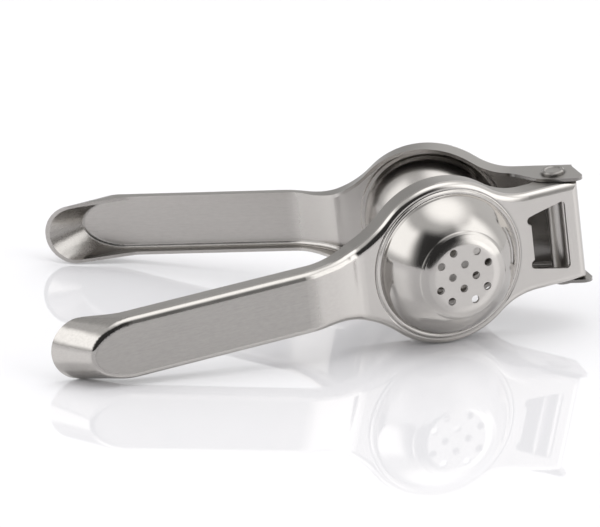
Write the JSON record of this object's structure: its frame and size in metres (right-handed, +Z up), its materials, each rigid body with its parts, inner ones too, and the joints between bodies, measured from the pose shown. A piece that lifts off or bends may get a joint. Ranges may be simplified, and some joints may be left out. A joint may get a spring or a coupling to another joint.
{
  "type": "hinged lemon squeezer",
  "caption": "Hinged lemon squeezer of two pressed sheet levers, one with a drained cup, the other with a dome that presses half a lemon into it.",
  "frame": {"origin": "on the floor, below the middle of the bounding box of the squeezer as it stands open on its edges", "axes": "+X from the handles' tips towards the hinge, +Y from the cup lever towards the press lever, +Z up"},
  "size_m": [0.2148, 0.146, 0.0662],
  "materials": {
    "cup_steel": "polished stainless steel, finely brushed on the handle's web",
    "press_steel": "polished stainless steel, finely brushed on the handle's web",
    "rivet_steel": "bright stainless steel",
    "spacer_steel": "bright stainless steel tube"
  },
  "bodies": {
    "cup_body": {"cup_lever": "cup_steel", "spacer_tube": "spacer_steel"},
    "press_body": {"press_lever": "press_steel", "hinge_rivet": "rivet_steel"}
  },
  "joints": [
    {"name": "lever_hinge", "type": "hinge", "parent": "cup_body", "child": "press_body", "pos_m": [0.09358, 0.00055, 0.04002], "axis": [0.1442, 0, -0.9896], "range_deg": [-33.6, 67]}
  ]
}
